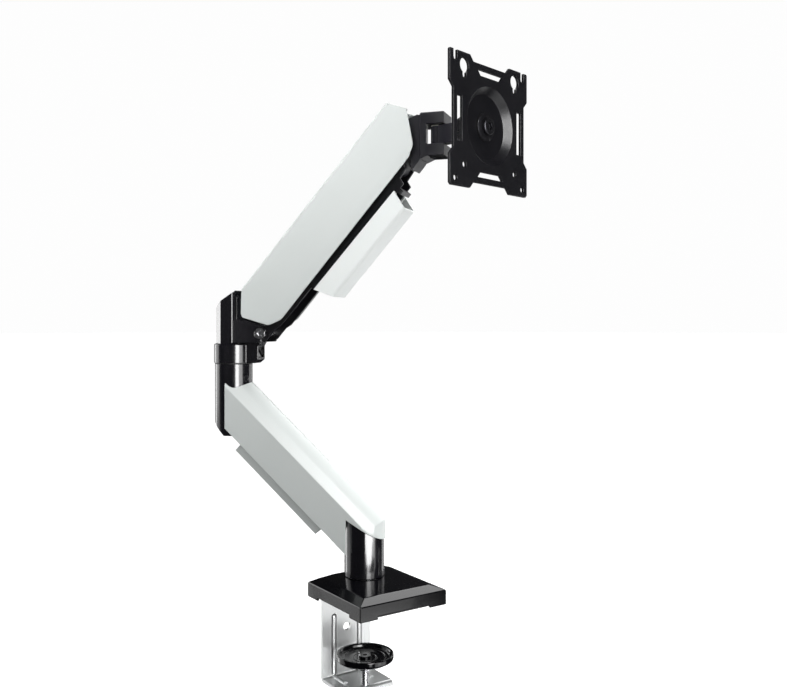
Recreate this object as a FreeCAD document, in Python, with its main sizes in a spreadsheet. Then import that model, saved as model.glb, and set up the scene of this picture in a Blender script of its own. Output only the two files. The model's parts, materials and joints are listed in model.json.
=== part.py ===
import FreeCAD, Part
import Sketcher
import math
import os

# Gas-spring monitor arm, clamped to the edge of a desk.
# Frame: origin on the post axis at the desk surface, +Z up, the screen side
# is -Y, +X is to the right of the person who faces the screen.

V = FreeCAD.Vector
Rot = FreeCAD.Rotation
Plc = FreeCAD.Placement
Z_AXIS = V(0, 0, 1)

doc = FreeCAD.newDocument("monitor_arm")
sheet = doc.addObject("Spreadsheet::Sheet", "dims")


class Q:
    """A length or angle with its value and the sheet formula it comes from."""

    def __init__(self, v, e):
        self.v = float(v)
        self.e = e

    def __add__(self, o):
        o = q(o)
        return Q(self.v + o.v, "(%s + %s)" % (self.e, o.e))

    __radd__ = __add__

    def __sub__(self, o):
        o = q(o)
        return Q(self.v - o.v, "(%s - %s)" % (self.e, o.e))

    def __rsub__(self, o):
        return q(o) - self

    def __mul__(self, o):
        o = q(o)
        return Q(self.v * o.v, "(%s * %s)" % (self.e, o.e))

    __rmul__ = __mul__

    def __truediv__(self, o):
        o = q(o)
        return Q(self.v / o.v, "(%s / %s)" % (self.e, o.e))

    def __neg__(self):
        return Q(-self.v, "(-1 * %s)" % self.e)


def q(o):
    if isinstance(o, Q):
        return o
    return Q(float(o), "%.6f" % float(o))


class Dims:
    pass


D = Dims()
ROWS = [
    # desk base
    ("base_side", 94.0), ("base_setback", -20.4), ("skirt_top", 13.6), ("bevel_top", 17.6),
    ("crown_top", 19.0), ("bevel_width", 11.0), ("base_wall", 2.4), ("foot_lift", 3.0),
    ("plate_thick", 4.0), ("pad_thick", 2.0),
    ("post_radius", 16.4), ("post_top", 39.2), ("flange_radius", 25.0), ("rod_bore", 5.1),
    # desk clamp
    ("strap_width", 55.0), ("strap_thick", 3.0), ("strap_front", 32.0), ("strap_low", -85.0),
    ("strap_reach", -8.4), ("strap_hole", 4.0), ("strap_hole_z", -39.0), ("clamp_axis_y", -1.0),
    ("screw_radius", 4.0), ("screw_low", -164.0), ("pad_radius", 27.5), ("pad_top", -55.0),
    ("pad_height", 8.0), ("knob_radius", 19.0), ("knob_height", 22.0),
    # lower arm
    ("lower_yaw", 133.375), ("lower_len", 132.6), ("sleeve_radius", 19.0), ("sleeve_low", 19.6),
    ("sleeve_bore", 17.4), ("liner_gap", 0.06), ("column_radius", 18.25), ("column_top", 219.5),
    ("spindle_radius", 10.0), ("bush_radius", 13.0), ("lower_half", 20.3), ("lower_skin", 1.2),
    ("lower_slope", 43.68), ("wall_near", 13.0), ("wall_far", 134.0), ("wall_low", 42.0),
    ("wall_rise", 28.6), ("crown_rise", 17.0), ("crease_rise", 1.3), ("crown_radius", 18.75),
    # elbow
    ("elbow_yaw", -52.76), ("collar_radius", 19.25), ("collar_low", 220.3), ("collar_top", 239.0),
    ("block_half", 17.6), ("rib_half", 7.8), ("block_end", 42.0), ("tongue_half", 12.2), ("slot_half", 5.6),
    ("main_x", 32.6), ("main_z", 279.2), ("link_x", 37.0), ("link_z", 249.5),
    ("anchor_x", 34.7), ("anchor_z", 265.4), ("main_pin", 5.0), ("link_pin", 4.0), ("anchor_pin", 4.0),
    # upper arm
    ("incline", 48.8), ("arm_len", 205.0), ("cover_half", 20.0), ("cover_skin", 1.6),
    ("cheek_half", 15.5), ("cheek_skin", 3.0), ("link_half", 12.0), ("link_skin", 2.2),
    ("link_depth", 17.0), ("strut_radius", 9.0), ("rod_radius", 4.0), ("strut_drop", -12.0),
    ("pin_gap", 0.05),
    # head
    ("swivel_t", 208.2), ("fork_half", 13.5), ("neck_half", 12.2), ("fork_left", 195.5),
    ("fork_right", 218.0), ("fork_low", 411.0), ("fork_top", 450.0), ("window_left", 201.6),
    ("window_low", 421.4), ("window_high", 439.4), ("barrel_radius", 5.9), ("swivel_pin", 4.0),
    # screen plate
    ("plate_yaw", 14.49), ("plate_reach", 59.0), ("plate_z", 430.93), ("sheet_thick", 2.5),
    ("vesa_big", 100.0), ("vesa_small", 75.0), ("vesa_hole", 2.5), ("plate_wide", 115.6),
    ("plate_tall", 113.0), ("keyhole", 6.2), ("dish_radius", 34.2), ("dish_depth", 4.0), ("tilt_reach", 37.0),
    ("tilt_pin", 4.0),
]
for i, (alias, value) in enumerate(ROWS):
    sheet.set("A%d" % (i + 1), alias)
    sheet.set("B%d" % (i + 1), "%g" % value)
    sheet.setAlias("B%d" % (i + 1), alias)
    setattr(D, alias, Q(value, "dims." + alias))
doc.recompute()

NODES = []
_n = [0]


def uid(stem):
    _n[0] += 1
    return "%s_%03d" % (stem, _n[0])


def bind(obj, prop, val):
    val = q(val)
    if "dims." in val.e:
        obj.setExpression(prop, val.e)
    else:
        obj.setExpression(prop, "%.6f" % val.v)


def put(obj, x=0, y=0, z=0, axis=None, angle=0):
    if axis is not None:
        obj.Placement = Plc(V(0, 0, 0), Rot(V(*axis), angle))
    for key, val in (("x", x), ("y", y), ("z", z)):
        val = q(val)
        if val.v != 0 or "dims." in val.e:
            bind(obj, "Placement.Base.%s" % key, val)
    return obj


def cyl(r, h, x=0, y=0, z=0, along="Z"):
    o = doc.addObject("Part::Cylinder", uid("cyl"))
    bind(o, "Radius", r)
    bind(o, "Height", h)
    if along == "Y":
        # grows towards +Y
        return put(o, x, y, z, (1, 0, 0), -90)
    if along == "X":
        return put(o, x, y, z, (0, 1, 0), 90)
    return put(o, x, y, z)


def cyl_y(r, half, x, z):
    """A cylinder along Y, centred on y = 0."""
    return cyl(r, q(half) * 2, x, -q(half), z, "Y")


def box(dx, dy, dz, x=0, y=0, z=0):
    o = doc.addObject("Part::Box", uid("box"))
    bind(o, "Length", dx)
    bind(o, "Width", dy)
    bind(o, "Height", dz)
    return put(o, x, y, z)


def cone(r1, r2, h, x=0, y=0, z=0):
    o = doc.addObject("Part::Cone", uid("cone"))
    bind(o, "Radius1", r1)
    bind(o, "Radius2", r2)
    bind(o, "Height", h)
    return put(o, x, y, z)


def torus(r1, r2, x=0, y=0, z=0, axis=None, angle=0):
    o = doc.addObject("Part::Torus", uid("torus"))
    bind(o, "Radius1", r1)
    bind(o, "Radius2", r2)
    return put(o, x, y, z, axis, angle)


def hexa(across, h, x=0, y=0, z=0, along="Z"):
    o = doc.addObject("Part::Prism", uid("hexa"))
    o.Polygon = 6
    bind(o, "Circumradius", q(across) * (1 / math.sqrt(3)))
    bind(o, "Height", h)
    if along == "Y":
        return put(o, x, y, z, (1, 0, 0), -90)
    return put(o, x, y, z)


def fuse(*parts):
    if len(parts) == 1:
        return parts[0]
    o = doc.addObject("Part::MultiFuse", uid("fuse"))
    o.Shapes = list(parts)
    o.Refine = True
    return o


def cut(base, *tools):
    o = doc.addObject("Part::Cut", uid("cut"))
    o.Base = base
    o.Tool = fuse(*tools)
    o.Refine = True
    return o


def common(a, b):
    o = doc.addObject("Part::MultiCommon", uid("common"))
    o.Shapes = [a, b]
    return o


def group(*parts):
    o = doc.addObject("Part::Compound", uid("set"))
    o.Links = list(parts)
    return o


def origin_plane(body, role):
    return [f for f in body.Origin.OriginFeatures if f.Role == role][0]


def poly(sk, pts):
    first = sk.GeometryCount
    n = len(pts)
    pts = [(q(a), q(b)) for a, b in pts]
    for k in range(n):
        a, b = pts[k], pts[(k + 1) % n]
        sk.addGeometry(Part.LineSegment(V(a[0].v, a[1].v, 0), V(b[0].v, b[1].v, 0)), False)
    for k in range(n):
        sk.addConstraint(Sketcher.Constraint("Coincident", first + k, 2, first + (k + 1) % n, 1))
    for k in range(n):
        for kind, val in (("DistanceX", pts[k][0]), ("DistanceY", pts[k][1])):
            c = sk.addConstraint(Sketcher.Constraint(kind, -1, 1, first + k, 1, val.v))
            if "dims." in val.e:
                sk.setExpression("Constraints[%d]" % c, val.e)


def disc(sk, x, y, r):
    x, y, r = q(x), q(y), q(r)
    g = sk.addGeometry(Part.Circle(V(x.v, y.v, 0), V(0, 0, 1), r.v), False)
    for kind, val in (("DistanceX", x), ("DistanceY", y)):
        c = sk.addConstraint(Sketcher.Constraint(kind, -1, 1, g, 3, val.v))
        if "dims." in val.e:
            sk.setExpression("Constraints[%d]" % c, val.e)
    c = sk.addConstraint(Sketcher.Constraint("Radius", g, r.v))
    if "dims." in r.e:
        sk.setExpression("Constraints[%d]" % c, r.e)


def new_body(stem):
    return doc.addObject("PartDesign::Body", uid(stem))


def new_sketch(body, role, loops, lift=0):
    sk = body.newObject("Sketcher::SketchObject", uid("sketch"))
    sk.AttachmentSupport = [(origin_plane(body, role), "")]
    sk.MapMode = "FlatFace"
    if q(lift).v != 0:
        sk.AttachmentOffset = Plc(V(0, 0, q(lift).v), Rot())
        if "dims." in q(lift).e:
            sk.setExpression("AttachmentOffset.Base.z", q(lift).e)
    for loop in loops:
        if isinstance(loop, list):
            poly(sk, loop)
        else:
            disc(sk, *loop)
    return sk


def pad(body, role, loops, length, sym=False, lift=0, rev=False):
    sk = new_sketch(body, role, loops, lift)
    o = body.newObject("PartDesign::Pad", uid("pad"))
    o.Profile = sk
    bind(o, "Length", length)
    if sym:
        o.SideType = "Symmetric"
    o.Reversed = rev
    body.Tip = o
    return o


def pocket(body, role, loops, length, sym=False, lift=0, rev=False):
    """Removes material and makes sure that it did."""
    doc.recompute()
    before = body.Shape.Volume
    sk = new_sketch(body, role, loops, lift)
    o = body.newObject("PartDesign::Pocket", uid("pocket"))
    o.Profile = sk
    bind(o, "Length", length)
    if sym:
        o.SideType = "Symmetric"
    o.Reversed = rev
    body.Tip = o
    doc.recompute()
    if not body.Shape.Volume < before - 1e-3:
        raise RuntimeError("pocket removed nothing: " + body.Name)
    return o


def soften(body, radius, pick):
    """Rounds the edges that pick(edge) chooses on the body so far."""
    doc.recompute()
    base = body.Tip
    names = ["Edge%d" % (k + 1) for k, e in enumerate(base.Shape.Edges) if pick(e)]
    if not names:
        raise RuntimeError("nothing to round on " + body.Name)
    o = body.newObject("PartDesign::Fillet", uid("fillet"))
    o.Base = (base, names)
    bind(o, "Radius", radius)
    body.Tip = o
    doc.recompute()
    if "Invalid" in o.State or "Error" in o.State:
        raise RuntimeError("fillet failed on " + body.Name)
    return o


def turned(role_pts, name="turned"):
    """A body of revolution about Z from (radius, height) points."""
    body = new_body(name)
    sk = new_sketch(body, "XZ_Plane", [role_pts])
    o = body.newObject("PartDesign::Revolution", uid("rev"))
    o.Profile = sk
    o.ReferenceAxis = (sk, ["V_Axis"])
    o.Angle = 360.0
    body.Tip = o
    return body


def is_y_edge(e):
    a, b = e.Vertexes[0].Point, e.Vertexes[-1].Point
    return len(e.Vertexes) == 2 and abs(a.x - b.x) < 1e-6 and abs(a.z - b.z) < 1e-6 and abs(a.y - b.y) > 1


def near(e, x, z, tol=1.0):
    p = e.Vertexes[0].Point
    return abs(p.x - x) < tol and abs(p.z - z) < tol


# ---- the frames that the arms are drawn in -----------------------------------

def yaw_frame(x, y, ang):
    return Plc(V(x, y, 0), Rot(Z_AXIS, ang))


def polar(r, a):
    return r * math.cos(math.radians(a)), r * math.sin(math.radians(a))


ELBOW_X, ELBOW_Y = polar(D.lower_len.v, D.lower_yaw.v)
F_WORLD = Plc()
F_LOWER = yaw_frame(0, 0, D.lower_yaw.v)
F_ELBOW = yaw_frame(ELBOW_X, ELBOW_Y, D.elbow_yaw.v)
TILT_UP = Rot(V(0, 1, 0), -D.incline.v)
# arm lines: x along the arm, z at right angles to it, from the pivot at the elbow
F_ARM = F_ELBOW * Plc(V(D.main_x.v, 0, D.main_z.v), TILT_UP)
F_LINK = F_ELBOW * Plc(V(D.link_x.v, 0, D.link_z.v), TILT_UP)
SWIVEL = F_ELBOW.multVec(V(D.swivel_t.v, 0, 0))
F_SWIVEL = yaw_frame(SWIVEL.x, SWIVEL.y, D.plate_yaw.v)

HEAD_X = D.main_x.v + D.arm_len.v * math.cos(math.radians(D.incline.v))
HEAD_Z = D.main_z.v + D.arm_len.v * math.sin(math.radians(D.incline.v))
HLINK_X = D.link_x.v + D.arm_len.v * math.cos(math.radians(D.incline.v))
HLINK_Z = D.link_z.v + D.arm_len.v * math.sin(math.radians(D.incline.v))


PRIMITIVES = ("Part::Cylinder", "Part::Box", "Part::Cone", "Part::Torus", "Part::Prism", "Part::Wedge")


def node(name, obj, frame=None):
    """Names a finished piece and stands it in its frame."""
    if obj.TypeId in PRIMITIVES or (frame is not None and not obj.Placement.isIdentity()):
        obj = group(obj)
    if frame is not None:
        obj.Placement = frame
    obj.Label = name
    NODES.append((name, obj))
    return obj


def frustum(x0, x1, y0, y1, z0, X0, X1, Y0, Y1, z1):
    """A four-sided block whose top rectangle is smaller than its bottom one."""
    o = doc.addObject("Part::Wedge", uid("frustum"))
    for key, val in (("Xmin", x0), ("Xmax", x1), ("X2min", X0), ("X2max", X1), ("Ymin", z0), ("Ymax", z1),
                     ("Zmin", -q(y1)), ("Zmax", -q(y0)), ("Z2min", -q(Y1)), ("Z2max", -q(Y0))):
        bind(o, key, val)
    o.Placement = Plc(V(0, 0, 0), Rot(V(1, 0, 0), 90))
    return o


def slab(pts, half, role="XZ_Plane"):
    """A flat profile in the XZ plane, thickened the same amount both ways."""
    b = new_body("slab")
    pad(b, role, [pts], q(half) * 2, sym=True)
    return b


def ring(r1, r2, z, h, x=0, y=0):
    return cut(cyl(r2, h, x, y, z), cyl(r1, q(h) + 2, x, y, q(z) - 1))


def doc_sphere(r, x, y, z):
    o = doc.addObject("Part::Sphere", uid("sphere"))
    bind(o, "Radius", r)
    return put(o, x, y, z)


def move(obj, x, y, z):
    o = group(obj)
    for key, val in (("x", x), ("y", y), ("z", z)):
        bind(o, "Placement.Base.%s" % key, val)
    return o


def turn_z(obj, angle, at=(0, 0, 0)):
    o = group(obj)
    o.Placement = Plc(V(*at), Rot(Z_AXIS, angle))
    return o


def turn_x(obj, z):
    """Lays a piece made along +Z down along -Y, at height z."""
    o = group(obj)
    o.Placement = Plc(V(0, 0, q(z).v), Rot(V(1, 0, 0), 90))
    if "dims." in q(z).e:
        bind(o, "Placement.Base.z", z)
    return o


def nut_x(across, h, x, y, z):
    o = group(hexa(across, h))
    o.Placement = Plc(V(q(x).v, q(y).v, q(z).v), Rot(V(0, 1, 0), 90))
    return o


def turn_y_hex(across, x, y, z):
    return nut_x(across, 4, x, y, z)


def wedge_tip(x, z):
    """A pointed top for the narrow groove in the post sleeve."""
    b = new_body("tip")
    pad(b, "YZ_Plane", [[(-1.3, z), (1.3, z), (0, q(z) + 5)]], 3, lift=x)
    return b


# ==== desk base ================================================================

hb = D.base_side / 2
by0 = D.base_setback - hb
by1 = D.base_setback + hb
w = D.base_wall
bw = D.bevel_width
cover_out = fuse(
    box(D.base_side, D.base_side, D.skirt_top, -hb, by0, 0),
    frustum(-hb, hb, by0, by1, D.skirt_top, -hb + bw, hb - bw, by0 + bw, by1 - 6, D.bevel_top),
    frustum(-hb + bw, hb - bw, by0 + bw, by1 - 6, D.bevel_top, -22, 22, -39, 20, D.crown_top))
cover_in = fuse(
    box(D.base_side - w * 2, D.base_side - w * 2, D.skirt_top - w + 1, -hb + w, by0 + w, -1),
    frustum(-hb + w, hb - w, by0 + w, by1 - w, D.skirt_top - w, -hb + bw + w, hb - bw - w, by0 + bw + w,
            by1 - 6 - w, D.bevel_top - w),
    cyl(D.post_radius + 0.3, 30, 0, 0, 5),
    box(D.base_side - 38, D.base_side + 10, D.foot_lift + 1, -hb + 19, by0 - 5, -1),
    box(D.base_side + 10, D.base_side - 38, D.foot_lift + 1, -hb - 5, by0 + 19, -1),
    box(D.strap_width + 1, 12, 11, -D.strap_width / 2 - 0.5, 20, -1))
node("base_cover", cut(cover_out, cover_in))

pt = D.pad_thick
plate_top = pt + D.plate_thick
strap_top = plate_top + D.strap_thick


def four(r, h, z, reach=14.3):
    return [cyl(r, h, sx * reach, sy * reach, z) for sx in (-1, 1) for sy in (-1, 1)]


node("desk_pad", box(84, 84, pt, -42, -62, 0))
node("base_plate", cut(box(84, 84, D.plate_thick, -42, -62, pt), cyl(D.rod_bore, 10, 0, 0, 0), *four(2.1, 10, 0)))
stub = turned([(D.rod_bore, strap_top), (D.flange_radius, strap_top), (D.flange_radius, strap_top + 3),
               (D.post_radius, strap_top + 3), (D.post_radius, D.post_top - 0.8), (D.post_radius - 0.8, D.post_top),
               (D.rod_bore, D.post_top)], "stub")
node("post_stub", cut(stub, *four(2.1, 10, 7), box(60, 10, 3, -30, 22.6, strap_top), cyl(1.5, 6, 0, -11.2, D.post_top - 5)))
node("post_screws", group(*[fuse(cyl(2, 10.5, sx * 14.3, sy * 14.3, pt + 0.1), cyl(3.5, 2.4, sx * 14.3, sy * 14.3, strap_top + 3))
                            for sx in (-1, 1) for sy in (-1, 1)]))
node("rotation_stop_pin", cyl(1.5, 10, 0, -11.2, D.post_top - 5))

# clamp strap: a C of sheet steel with two pressed ribs
sw = D.strap_width
st = D.strap_thick
yf = D.strap_front
zl = D.strap_low
strap = new_body("strap")
pad(strap, "YZ_Plane", [[(-27, plate_top), (yf, plate_top), (yf, zl), (D.strap_reach, zl), (D.strap_reach, zl - 5),
                         (D.strap_reach + st, zl - 5), (D.strap_reach + st, zl - st), (yf + st, zl - st),
                         (yf + st, strap_top), (-27, strap_top)]], sw, sym=True)


def strap_edge(pairs):
    def pick(e):
        a, b = e.Vertexes[0].Point, e.Vertexes[-1].Point
        return abs(a.y - b.y) < 1e-6 and abs(a.z - b.z) < 1e-6 and any(
            abs(a.y - y) < 0.01 and abs(a.z - z) < 0.01 for y, z in pairs)
    return pick


soften(strap, 4.5, strap_edge([(yf.v + st.v, zl.v - st.v), (yf.v + st.v, strap_top.v), (D.strap_reach.v, zl.v)]))
soften(strap, 1.5, strap_edge([(yf.v, zl.v), (yf.v, plate_top.v), (D.strap_reach.v + st.v, zl.v - st.v)]))
ribs = []
for sx in (-14.5, 14.5):
    up = common(cyl(3.5, 56, sx, yf + 1.9, zl + 2), box(12, 2.4, 60, sx - 6, yf - 2, zl + 2))
    ball = common(doc_sphere(3.5, sx, yf + 1.9, zl + 58), box(12, 2.4, 12, sx - 6, yf - 2, zl + 52))
    low = common(cyl(3.5, 22, sx, yf - 21, zl - 1.9, "Y"), box(12, 24, 2.4, sx - 6, yf - 22, zl - 0.4))
    ribs += [up, ball, low]
node("clamp_bracket", cut(fuse(strap, *ribs), cyl(D.strap_hole, 12, 0, yf - 4, D.strap_hole_z, "Y"),
                          cyl(D.rod_bore, 10, 0, 0, 3), cyl(4.5, 12, 0, D.clamp_axis_y, zl - 8), *four(2.1, 10, 3),
                          box(18.4, 5, 4, -9.2, D.strap_reach - 0.5, zl - 3 - 4)))
cy = D.clamp_axis_y
node("clamp_nut", cut(hexa(15, 6.5, 0, cy, zl - st - 6.5), cyl(D.screw_radius + 0.06, 12, 0, cy, zl - st - 9)))

# clamp screw, knob and pad
pz = D.pad_top
pr = D.pad_radius
hub_low = pz - D.pad_height - 5
node("clamp_screw", fuse(cyl(D.screw_radius, (hub_low - 0.1) - D.screw_low, 0, cy, D.screw_low),
                         cyl(D.screw_radius - 1, 9.8, 0, cy, hub_low - 1),
                         cyl(6.5, 2.4, 0, cy, hub_low - 2.5)))
kr = D.knob_radius
lobes = [cyl(5.5, 60, (kr + 3.2) * math.cos(math.radians(60 * k)), cy + (kr + 3.2) * math.sin(math.radians(60 * k)),
             D.screw_low - 20) for k in range(6)]
knob = turned([(4.0, D.screw_low), (kr - 3, D.screw_low), (kr, D.screw_low + 3), (kr, D.screw_low + D.knob_height - 5),
               (kr - 4, D.screw_low + D.knob_height - 1.5), (8, D.screw_low + D.knob_height),
               (4.0, D.screw_low + D.knob_height)], "knob")
knob.Placement.Base.y = cy.v
node("clamp_knob", cut(knob, *lobes))
dish = turned([(3.05, hub_low), (9, hub_low), (9, pz - D.pad_height - 0.6), (pr - 4, pz - D.pad_height + 0.4),
               (pr, pz - 5.2), (pr, pz - 0.6), (pr - 0.6, pz), (pr - 3, pz), (pr - 5, pz - 3.2), (15, pz - 4.2),
               (3.05, pz - 4.2)], "dish")
node("clamp_pad", move(dish, 0, cy, 0))
node("pad_screw", cut(cyl(6, 2.2, 0, cy, pz - 4.15), hexa(4, 3, 0, cy, pz - 3.2)))

# ==== lower arm ================================================================

sr = D.sleeve_radius
beam = slab([(0, 50), (122, 166), (122, 199), (0, 84)], 11.5)
column = cut(cyl(D.column_radius, D.column_top - 150, D.lower_len, 0, 150),
             slab([(90, 100), (160, 100), (160, 173), (90, 106)], 30))


def roof_section(inset, low, half=None):
    """The lower arm's section: upright walls, a crease, a steep roof face each side and a round crown."""
    h = D.lower_half - inset
    c = D.crease_rise - inset * 0.55
    x1, z1 = 15 - q(inset) * 0.8, 9.5 - q(inset)
    b = new_body("roof")
    hw = q(half) if half is not None else h
    pad(b, "YZ_Plane", [[(-hw, low), (hw, low), (hw, c - 0.01), (h, c), (x1, z1), (-x1, z1), (-h, c), (-hw, c - 0.01)]] if half is not None
        else [[(-h, low), (h, low), (h, c), (x1, z1), (-x1, z1), (-h, c)]], 330, lift=-110)
    crown = common(cyl(D.crown_radius - inset, 330, -110, 0, D.crown_rise - D.crown_radius, "X"),
                   box(330, x1 * 2, 20, -110, -x1, z1 - 0.5))
    return fuse(b, crown)


sleeve_room = roof_section(D.lower_skin + 0.4, -200, 30)
SLOPE = Plc(V(D.wall_near.v, 0, D.wall_low.v + 39.5), Rot(V(0, 1, 0), -D.lower_slope.v))
sleeve_room.Placement = SLOPE
sleeve = common(cyl(sr, 70, 0, 0, D.sleeve_low), sleeve_room)
groove = cut(cyl(13.5, 6.2, 0, 0, 39.5), cyl(8.9, 6.2, 0, 0, 39.5), box(8, 7, 6.2, -15, -3.5, 40))
AZ_SLIT = math.radians(-75.7 - D.lower_yaw.v)
AZ_GRUB = math.radians(-72.75 - D.lower_yaw.v)
slit = turn_z(fuse(box(3, 2.6, 20, sr - 1.2, -1.3, 22), wedge_tip(sr - 1.2, 42)), math.degrees(AZ_SLIT))
gx, gy = math.cos(AZ_GRUB), math.sin(AZ_GRUB)
grub_hole = turn_z(cyl(3.05, 9.2, D.bush_radius - 1, 0, 0, "X"), math.degrees(AZ_GRUB), (D.lower_len.v, 0, 205.3))
low_grub_hole = turn_z(cyl(3.05, 9.2, D.sleeve_bore - 1, 0, 0, "X"), 0, (0, 0, 32))
node("lower_arm_frame", cut(fuse(sleeve, column, beam), cyl(D.sleeve_bore, 21.4, 0, 0, D.sleeve_low - 1), groove,
                            cyl(D.bush_radius, 80, D.lower_len, 0, 165), slit, grub_hole, low_grub_hole), F_LOWER)
node("post_liner", ring(D.post_radius + D.liner_gap, D.sleeve_bore, D.sleeve_low + 0.2, 19.4), F_LOWER)
node("base_grub_screw", cut(turn_z(cyl(3, 1.5, D.sleeve_bore + 0.1, 0, 0, "X"), 0, (0, 0, 32)),
                            turn_z(cyl(1.2, 3, D.sleeve_bore + 0.8, 0, 0, "X"), 0, (0, 0, 32))), F_LOWER)
node("elbow_grub_screw", cut(turn_z(cyl(3, 4.9, D.bush_radius + 0.1, 0, 0, "X"), math.degrees(AZ_GRUB), (D.lower_len.v, 0, 205.3)),
                             turn_z(cyl(1.4, 3, D.bush_radius + 3, 0, 0, "X"), math.degrees(AZ_GRUB), (D.lower_len.v, 0, 205.3))), F_LOWER)
node("elbow_bushes", group(ring(D.spindle_radius + D.liner_gap, D.bush_radius, 197, 22, D.lower_len, 0),
                           ring(D.spindle_radius + D.liner_gap, D.bush_radius, 174, 18, D.lower_len, 0)), F_LOWER)

# white cover: an arched section laid along the slope, cut to a round-ended plan
lh = D.lower_half
sk_ = D.lower_skin
section_out = roof_section(q(0), -D.wall_rise)
section_in = roof_section(sk_, -80)
section_out.Placement = SLOPE
section_in.Placement = SLOPE
plan_out = fuse(cyl(lh, 240, 0, 0, 10), box(D.wall_far, lh * 2, 240, 0, -lh, 10))
plan_in = fuse(cyl(lh - sk_, 240, 0, 0, 10), box(D.wall_far + 20, (lh - sk_) * 2, 240, 0, -lh + sk_, 10))
under_cap = slab([(-30, -10), (D.wall_near, -10), (D.wall_near, 74.8), (-30, 49)], 40)
node("lower_arm_cover", cut(common(section_out, plan_out), common(section_in, plan_in), under_cap,
                            cyl(D.column_radius + 0.5, 200, D.lower_len, 0, 100)), F_LOWER)

# clip-on cable cover below it
clip = cut(box(112, 29, 9.2, 7, -14.5, -38),
           box(130, 25.8, 7.6, 0, -12.9, -36.4), box(130, 20, 20, 0, -10, -33))
clip.Placement = SLOPE
node("lower_cable_cover", cut(clip, slab([(-30, -10), (17, -10), (24, 41), (-30, 90)], 40)), F_LOWER)

# ==== elbow ====================================================================

mx, mz, lx, lz, ax, az = D.main_x, D.main_z, D.link_x, D.link_z, D.anchor_x, D.anchor_z
cl = D.collar_low
bh = D.block_half
collar = fuse(cyl(D.collar_radius, D.collar_top - cl - 0.8, 0, 0, cl),
              cone(D.collar_radius, D.collar_radius - 0.8, 0.8, 0, 0, D.collar_top - 0.8))
pillar = new_body("pillar")
pad(pillar, "XY_Plane", [[(9.6, -16), (-6, -16), (-16, -6.5), (-16, 6.5), (-6, 16), (9.6, 16)]], 60, lift=235)
pillar = cut(pillar, slab([(-40, 253), (-16.2, 273.9), (-12, 277.4), (7.8, 289.8), (30, 303.6), (30, 330), (-40, 330)], 40),
             cyl(1.9, 60, 7.6, -17, 240), cyl(1.9, 60, 7.6, 17, 240))
rib = slab([(9, cl), (25.6, cl), (30, cl + 3.4), (30, 237), (33, 241.5), (9, 241.5)], D.rib_half)
soften(rib, 1.2, lambda e: is_y_edge(e) and (near(e, 25.6, cl.v, 0.1) or near(e, 30, cl.v + 3.4, 0.1)))
cheeks_low = slab([(9, 240.6), (29.9, 240.6), (38.2, 241), (38.2, 245.8), (lx + 6, lz + 1), (lx + 6.4, lz + 3.5), (lx, lz + 7.5), (20, 262.6), (9, 262.6)], bh)
soften(cheeks_low, 1.2, lambda e: is_y_edge(e) and (near(e, 38.2, 241, 0.1) or near(e, 38.2, 245.8, 0.1)))
block = fuse(rib, cheeks_low)
tongue = fuse(cyl_y(13, D.tongue_half, mx, mz),
              slab([(9, 257.9), (9, 284), (26, 290.2), (36, 257.9)], D.tongue_half))
link_slot = slab([(28, 257.9), (28, 242), (32, 240.2), (43, 232.2), (43, 231), (75, 231), (75, 257.9)], D.link_half + 0.6)
strut_slot = box(60, D.slot_half * 2, 60, 25.5, -D.slot_half, 251.5)
end_recess = box(3, D.rib_half * 2 - 4.4, 10.5, 28.7, -D.rib_half + 2.2, 226)
node("elbow_casting", cut(fuse(collar, pillar, block, tongue), link_slot, strut_slot, end_recess,
                          cyl(D.spindle_radius, 12, 0, 0, cl - 5), cyl_y(D.main_pin, 40, mx, mz), cyl_y(D.link_pin, 40, lx, lz),
                          cyl_y(D.anchor_pin, 40, ax, az), cyl(5.6, 3, lx, bh - 2, lz, "Y"), cyl(5.6, 3, lx, -bh - 1, lz, "Y")), F_ELBOW)
node("elbow_washer", ring(D.spindle_radius + 0.2, 18.6, cl - 0.75, 0.7), F_ELBOW)
node("elbow_spindle", fuse(cyl(D.spindle_radius, cl + 7 - 172, 0, 0, 172)), F_ELBOW)
node("spindle_retainer", fuse(cyl(12.4, 2.4, 0, 0, 169.6), cut(cyl(5, 3.6, 0, 0, 166), hexa(4.6, 2.4, 0, 0, 165.5))), F_ELBOW)
node("main_pivot_pin", cut(fuse(cyl_y(D.main_pin, 15.7, mx, mz), cyl(7, 1.7, mx, 15.6, mz, "Y"), cyl(7, 1.7, mx, -17.3, mz, "Y")),
                           hexa(5, 3, mx, -18.5, mz, "Y"), hexa(5, 3, mx, 15.6, mz, "Y")), F_ELBOW)
node("link_pivot_pin", cut(fuse(cyl_y(D.link_pin, bh - 1, lx, lz), cyl(5.4, 1.8, lx, bh - 1.9, lz, "Y"),
                                cyl(5.4, 1.8, lx, -bh + 0.1, lz, "Y")), hexa(4.6, 2, lx, -bh - 0.8, lz, "Y")), F_ELBOW)
node("strut_anchor_pin", cyl_y(D.anchor_pin, D.tongue_half - 0.1, ax, az), F_ELBOW)

# ==== upper arm, drawn along +X from the main pivot =============================

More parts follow.
